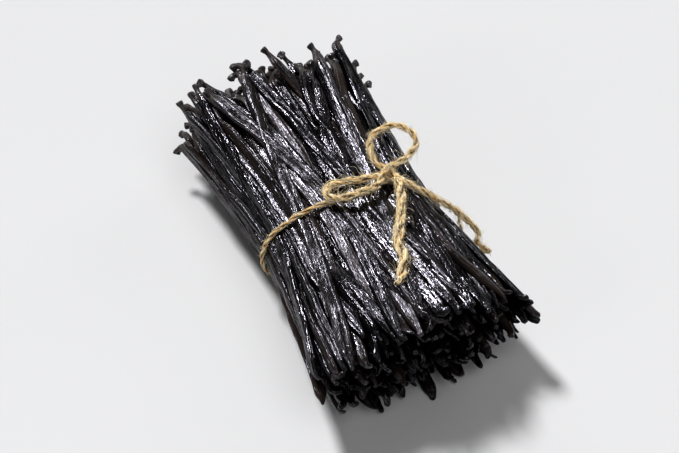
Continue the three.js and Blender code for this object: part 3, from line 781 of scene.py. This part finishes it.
def section_size(k, from_cut, from_nose):
    """Half width and half thickness of pods k at distances inward from the stem's cut and from the
    tip's nose. Each end's own radius gives way to the body's over its shoulders, on an S curve; the
    knob swells the last stretch of the stem, and the nose rounds off as a quarter circle does."""
    neck = mix(*NECK["radius"], chance(k, 100))
    neck_length = mix(*NECK["length"], chance(k, 101) ** 1.5)
    neck_grown = smooth((from_cut - neck_length) / mix(*NECK["shoulder"], chance(k, 102))) ** 0.8
    nose = mix(*NOSE["radius"], chance(k, 103))
    nose_length = mix(*NOSE["length"], chance(k, 104))
    nose_grown = smooth((from_nose - nose_length) / mix(*NOSE["shoulder"], chance(k, 105))) ** 0.7
    knob = mix(*KNOB["radius"], chance(k, 106)) - neck
    knob = knob * smooth((KNOB["length"] - from_cut) / KNOB["slope"])
    short = np.clip(from_nose / NOSE["rounding"], 0, 1)
    dome = np.sqrt(1 - (1 - short) ** 2)
    return [mix(nose, mix(neck, body, neck_grown) + knob, nose_grown) * dome
            for body in (HALF_WIDTH[k] * FULLER, HALF_THICKNESS[k])]


def pod_surface(k, x, end, distance, scale, sides):
    """Sections of pods k, as [pod, ring, side, (x, y, z)], their places in the skin's patterns,
    along the pod and in the section, and how much light gets to the skin there, from 0 to 1.

    A ring of the body is at x, in the plane across the bundle; a ring of the stem (end -1) or tip
    (end 1) is a distance out from the body's end, on a straight stretch and then an arc that turns
    the pod aside. A section is a superellipse of half sizes w and t, pushed out along the normal of
    its ellipse by the skin's relief. x is [pod, ring]; end, distance and scale are [ring]."""
    k = k[:, None]
    stem = end < 0
    length = np.where(stem, STEM["length"], TIP["length"])
    bend = np.where(
        stem, mix(*STEM["bend"], chance(k, 10) ** 2), mix(*TIP["bend"], chance(k, 212)))
    aside = TURN * np.where(stem, chance(k, 13), chance(k, 217))
    straight = BEND_START * length
    curve = bend / (length - straight)
    turned = curve * np.maximum(distance - straight, 0)
    ahead = end * (np.minimum(distance, straight) + np.sin(turned) / curve)
    sideways = (1 - np.cos(turned)) / curve

    s = x + end * distance
    y0, z0 = route_at(k, x)
    y1, z1 = route_at(k, x - end)
    y = y0 + (y0 - y1) * end * ahead + sideways * np.cos(aside)
    z = z0 + (z0 - z1) * end * ahead + sideways * np.sin(aside)
    y = y + wobble("middle", s, k, 20)
    z = z + wobble("middle", s, k, 23)

    from_cut = STEM["length"] + x - body_end(k, -1) - np.where(stem, distance, 0)
    from_nose = TIP["length"] + body_end(k, 1) - x - np.where(stem, 0, distance)
    w, t = section_size(k, np.maximum(from_cut, 0), np.maximum(from_nose, 0))
    w = w * scale * (1 + wobble("width", s, k, 26))
    t = t * scale * (1 + wobble("thickness", s, k, 29))
    flat = flat_angle(k, x) + wobble("flat", s, k, 32)

    a = TURN * np.arange(sides) / sides
    u, v = (size[..., None] * np.sign(part) * np.abs(part) ** (2 / SECTION_POWER)
            for size, part in ((w, np.cos(a)), (t, np.sin(a))))
    nu, nv = t[..., None] * np.cos(a), w[..., None] * np.sin(a)
    n = np.sqrt(nu**2 + nv**2) + 1e-9
    # The relief is full on the body, halved on a thin stem or tip, and gone where the skin closes.
    on_body = smooth((w - 0.8) / 1.8)[..., None]
    relief = skin_relief(k[..., None], s[..., None], a) * mix(0.5, 1.0, on_body)
    relief = relief * smooth(w / 0.9)[..., None]
    # Light gets to what faces out of the bundle, and all round to a stem, half so to a tip; a fifth
    # of it gets to the bottoms of furrows.
    out = outward_angle(y, z - MIDDLE_Z, x)[..., None] - flat[..., None]
    facing = (nu * np.cos(out) + nv * np.sin(out)) / n
    free = smooth(distance / 5) * np.where(stem, 1, 0.5)
    lit = mix(smooth((facing - 0.2) / 0.55), 1, free[:, None])
    lit = lit * mix(0.2, 1, smooth((relief + 0.28) / 0.4))

    u, v = u + relief * nu / n, v + relief * nv / n
    c, d = np.cos(flat)[..., None], np.sin(flat)[..., None]
    py, pz = u * c - v * d, u * d + v * c
    ca, sa = np.cos(aside)[..., None], np.sin(aside)[..., None]
    in_plane = py * ca + pz * sa
    lean = (np.cos(turned) - 1)[..., None] * in_plane
    points = together((x + ahead)[..., None] - (end * np.sin(turned))[..., None] * in_plane,
                      y[..., None] + py + lean * ca, z[..., None] + pz + lean * sa)
    points[..., 2] = np.maximum(points[..., 2], 0)
    return points, together((s + PATTERN_LENGTH * chance(k, 90))[..., None], u, v), lit


def end_rings(steps, plain, closing, scales):
    """Rings of a stem or tip from the body's end outward, as their distances and scales: evenly
    spaced over the plain length, and then those that close it."""
    distance = np.linspace(0, 1, steps + 1)[1:] * plain
    return np.concatenate([distance, closing]), np.concatenate([np.ones(steps), scales])


def make_pods(name, k, detail, parts=(-1, 1), root=None, shade=1.0):
    """One piece of whole pods k, or of their stem ends (-1) or tip ends (1) from a root inside the
    bundle. Shade is a factor of the light that they throw back. The browner a pod, the duller, and
    stems are both, the more the further out."""
    stem_steps, body_steps, tip_steps, sides = detail
    start, finish = (body_end(k, end)[:, None] if end in parts else np.full((len(k), 1), root)
                     for end in (-1, 1))
    share = np.linspace(0, 1, body_steps + 1)
    body = 0 * share
    rings = [(mix(start, finish, share), body + parts[-1], body, body + 1)]
    if -1 in parts:
        stem = end_rings(stem_steps, STEM["length"], STEM["length"] + CUT_PAST, CUT_SHARES)
        distance, scale = (v[::-1] for v in stem)
        rings.insert(0, (start + 0 * distance, 0 * distance - 1, distance, scale))
    if 1 in parts:
        dome = TIP["length"] - NOSE["rounding"] * (1 - np.cos(ROUNDED_AT))
        distance, scale = end_rings(
            tip_steps, TIP["length"] - NOSE["rounding"], dome, np.ones(len(dome)))
        rings.append((finish + 0 * distance, 0 * distance + 1, distance, scale))
    x, end, distance, scale = (np.concatenate(v, axis=-1) for v in zip(*rings))
    points, place, lit = pod_surface(k, x, end, distance, scale, sides)

    dry = np.where(end < 0, smooth(distance / DRY_STEM["reach"]), 0)[:, None] * np.ones(sides)
    brown = chance(k, 91)[:, None, None] ** 3
    tone = 0.25 + 1.15 * brown + DRY_STEM["browner"] * dry
    gloss = chance(k, 92)[:, None, None] - 0.5 * brown - DRY_STEM["duller"] * dry
    lit = shade * mix(*SHINE, chance(k, 94))[:, None, None] * lit
    fields = {"pod_place": place, "pod_tone": tone, "pod_gloss": gloss, "pod_lit": lit}
    piece = make_piece(name, with_poles(points), grid_faces(len(k), len(end), sides), POD_SKIN,
                       {field: with_poles(values) for field, values in fields.items()})
    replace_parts(piece, "pods")


OUTERMOST, NEXT_IN = 48, 52  # how many pods are in the outermost layer, and in the next
STEM_ROOT, TIP_ROOT = -50.0, 42.0  # where the ends of those within begin
# The core fills a share of the bundle's section, and is blunt at both ends.
CORE = {"x": (-62, 56), "share": 0.72, "middle": -3, "half_length": 59.5, "bluntness": 8,
        "rings": 40, "sides": 48}


def make_bundle():
    """The outermost pods in fine rings, those just under them in coarser ones, ends of those
    within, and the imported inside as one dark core."""
    y, z = route_at(POD[:, None], STATION_X[None])
    across, up, _ = bundle_size(STATION_X[None])
    furthest = np.hypot(y / across, (z - MIDDLE_Z) / up).max(axis=1)
    outer, second, inner = np.split(np.argsort(-furthest), [OUTERMOST, OUTERMOST + NEXT_IN])
    for i, part in enumerate(("first", "next", "last")):
        make_pods("pods_outermost_" + part, outer[i::3], FINE)
    make_pods("pods_laid_across", EVERY_POD[POD_COUNT:], FINE)
    make_pods("pods_second_layer", second, COARSER, shade=0.6)
    make_pods("pods_inside_stem_ends", inner, COARSEST, (-1,), STEM_ROOT)
    make_pods("pods_inside_tip_ends", inner, COARSEST, (1,), TIP_ROOT)

    x = np.linspace(*CORE["x"], CORE["rings"])[:, None]
    a = (TURN * np.arange(CORE["sides"]) / CORE["sides"])[None]
    across, up, _ = bundle_size(x)
    blunt = np.abs((x - CORE["middle"]) / CORE["half_length"]) ** CORE["bluntness"]
    share = CORE["share"] * np.sqrt(np.clip(1 - blunt, 0.01, 1))
    points = together(x, across * share * np.cos(a), MIDDLE_Z + up * share * np.sin(a))
    core = make_piece("pods_core", with_poles(points[None]),
                      grid_faces(1, CORE["rings"], CORE["sides"]), POD_SHADOW)
    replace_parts(core, "pods")


make_bundle()


# ---- The band and the knot ----
# The band: where it crosses and how much aslant, how far the knot draws it aside and over what
# reach, its twine's radius and pitch, how far off the pods and the ground it stays, mm, and in how
# many directions it is measured.
BAND = {"x": 3.7, "slant": 0.11, "pull": 4, "pull_reach": 9, "radius": 1.0, "pitch": 13,
        "off_pods": 0.05, "off_ground": 0.1, "steps": 44}
NEARBY = 0.3  # the least cosine between directions that limit each other
KNOT_Y = 19.6


def band_x(y, z):
    """Where the band crosses the bundle: aslant, and drawn aside where it meets the knot."""
    pull = BAND["pull"] * np.exp(-(((y - KNOT_Y) / BAND["pull_reach"]) ** 2))
    return BAND["x"] + BAND["slant"] * y - np.where(z > MIDDLE_Z, pull, 0)


def band_line():
    """A taut loop round the pods: in each direction of the section, the least over nearby directions
    of how far the pods reach there over the cosine between, which is their convex outline."""
    direction = (TURN * np.arange(BAND["steps"]) / BAND["steps"])[:, None]
    y, z = route_at(EVERY_POD, np.full(len(EVERY_POD), float(BAND["x"])))
    x = band_x(y, z)
    reach = -np.inf
    for side in (-1, 1):
        at = x + side * BAND["radius"]
        y, z = route_at(EVERY_POD, at)
        w, t = body_size(EVERY_POD, at)
        turned = direction - flat_angle(EVERY_POD, at)
        middle = y * np.cos(direction) + (z - MIDDLE_Z) * np.sin(direction)
        far = middle + np.hypot(w * np.cos(turned), t * np.sin(turned))
        reach = np.maximum(reach, far.max(axis=1))
    facing = np.cos(direction - direction.T)
    limit = (reach[None] + BAND["radius"] + BAND["off_pods"]) / np.maximum(facing, NEARBY)
    radius = np.where(facing > NEARBY, limit, np.inf).min(axis=1)
    # A little more than a turn, so that its ends lap over each other under the knot.
    fine = np.arctan2(WAIST[1], KNOT_Y) + TURN * np.linspace(-0.005, 1.005, 570)
    radius = np.interp(fine, direction[:, 0], radius, period=TURN)
    y, z = radius * np.cos(fine), MIDDLE_Z + radius * np.sin(fine)
    z = np.maximum(z, BAND["radius"] + BAND["off_ground"])
    return together(band_x(y, z), y, z)


# The knot's strands: the first goes from the upright loop under the second to the front tail, the
# second from that loop over it to the flat loop, the third from the flat loop to the side tail.
KNOT_STRANDS = [
    [[-4.2, 17.2, 56.6], [-2.6, 18.2, 56.3], [-0.9, 19.3, 55.6], [1.2, 20.4, 55.3], [3.8, 21.2, 54.9],
     [6.0, 21.5, 55.1]],
    [[-0.9, 25, 56.9], [-0.7, 23, 56.7], [-0.4, 21.3, 57.4], [0.3, 19.0, 57.5], [2.2, 16.3, 56.9],
     [4.2, 14.2, 56.4], [6.3, 11.6, 56.4]],
    [[-0.4, 12.4, 54.6], [-0.2, 14.4, 54.4], [0.2, 17, 53.6], [1.2, 20, 52.6], [2.6, 22.4, 52.1],
     [4.2, 24.1, 52], [5.8, 25.1, 51.9]],
]
KNOT_STRAND = {"radius": 1.35, "pitch": 12, "loose": 1.5}
KNOT_RING = {"radius": 1.2, "pitch": 9, "loose": 1.5}
# The ring goes round its middle by these sizes times (cos a, sin a, sin a).
RING_MIDDLE, RING_SIZE, RING_ACROSS = (0.2, 20.2, 53.2), (2.6, 2.8, -0.9), (0, 0.3, 1)


def make_band_and_knot():
    """The taut band, whose ends meet under the knot, and the knot's strands and ring."""
    facts = {"radius": BAND["radius"], "pitch": BAND["pitch"], "loose": 1.0}
    lots = spun(band_line(), (1, 0, 0), facts, 9)
    for k, points in enumerate(KNOT_STRANDS):
        lots += spun(smooth_line(points, LINE_STEP), UP, KNOT_STRAND, 20 + k)
    a = np.linspace(-0.4, TURN + 0.2, 70)
    ring = RING_MIDDLE + RING_SIZE * together(np.cos(a), np.sin(a), np.sin(a))
    lots += spun(ring, RING_ACROSS, KNOT_RING, 31)
    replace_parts(make_twine("twine_band_and_knot", lots), "twine_band")


make_band_and_knot()


# ---- The stage ----
# The key light: its strength, W/m2, how wide it looks, degrees, and where it stands.
KEY = {"strength": 3.4, "width": 11.5, "towards": (-0.55, -0.12, 0.83)}
# The softboxes: how wide, m, how strong, W, and where they stand.
SOFTBOXES = [("fill", 1.2, 8, (0.45, 0.1, 0.88)), ("left", 0.7, 3.0, (0.15, -0.9, 0.42)),
             ("right", 0.7, 3.0, (-0.25, 0.9, 0.42)), ("back", 0.7, 3.0, (-0.93, 0.15, 0.36)),
             ("front", 0.7, 1.5, (0.93, -0.15, 0.36))]
LAMP_DISTANCE = 1.8
PAPER = (0xCECECF, 0xD1D1D2)  # its faint shades
FLOOR_HALF, FLOOR_HEIGHT = 12.0, -0.05 * MM
SURROUND = {"colour": 0xF2F4F8, "strength": 0.05}
VIEW = {"view_transform": "Standard", "gamma": 0.9, "exposure": 0.1}


def make_stage():
    """A pale floor, a sun-like key light high behind the stems, five softboxes, a dim surround."""
    material, tree = new_material("white_paper_sweep")
    place = add(tree, "TexCoord", {}).outputs["Object"]
    noise = add(tree, "TexNoise", {"Vector": place, "Scale": 3.0})
    colour = add(tree, "ValToRGB", {"Fac": noise}, stops=[(0.2, PAPER[0]), (0.8, PAPER[1])])
    give_surface(tree, {"Base Color": colour, "Roughness": 0.8})
    mesh = bpy.data.meshes.new("floor")
    corners = [(-1, -1), (1, -1), (1, 1), (-1, 1)]
    mesh.from_pydata([(x * FLOOR_HALF, y * FLOOR_HALF, FLOOR_HEIGHT) for x, y in corners],
                     [], [(0, 1, 2, 3)])
    mesh.materials.append(material)
    put("floor", mesh)

    key = bpy.data.lights.new("key", "SUN")
    key.energy = KEY["strength"]
    key.angle = np.radians(KEY["width"])
    aim(put("key", key), KEY["towards"], LAMP_DISTANCE)
    for name, size, energy, towards in SOFTBOXES:
        light = bpy.data.lights.new(name, "AREA")
        light.shape = "SQUARE"
        light.size = size
        light.energy = energy
        aim(put(name, light), towards, LAMP_DISTANCE)

    world = bpy.data.worlds.new("studio")
    bpy.context.scene.world = world
    world.use_nodes = True
    background = world.node_tree.nodes["Background"]
    background.inputs["Color"].default_value = linear(SURROUND["colour"])
    background.inputs["Strength"].default_value = SURROUND["strength"]
    for name, value in VIEW.items():
        setattr(bpy.context.scene.view_settings, name, value)


make_stage()
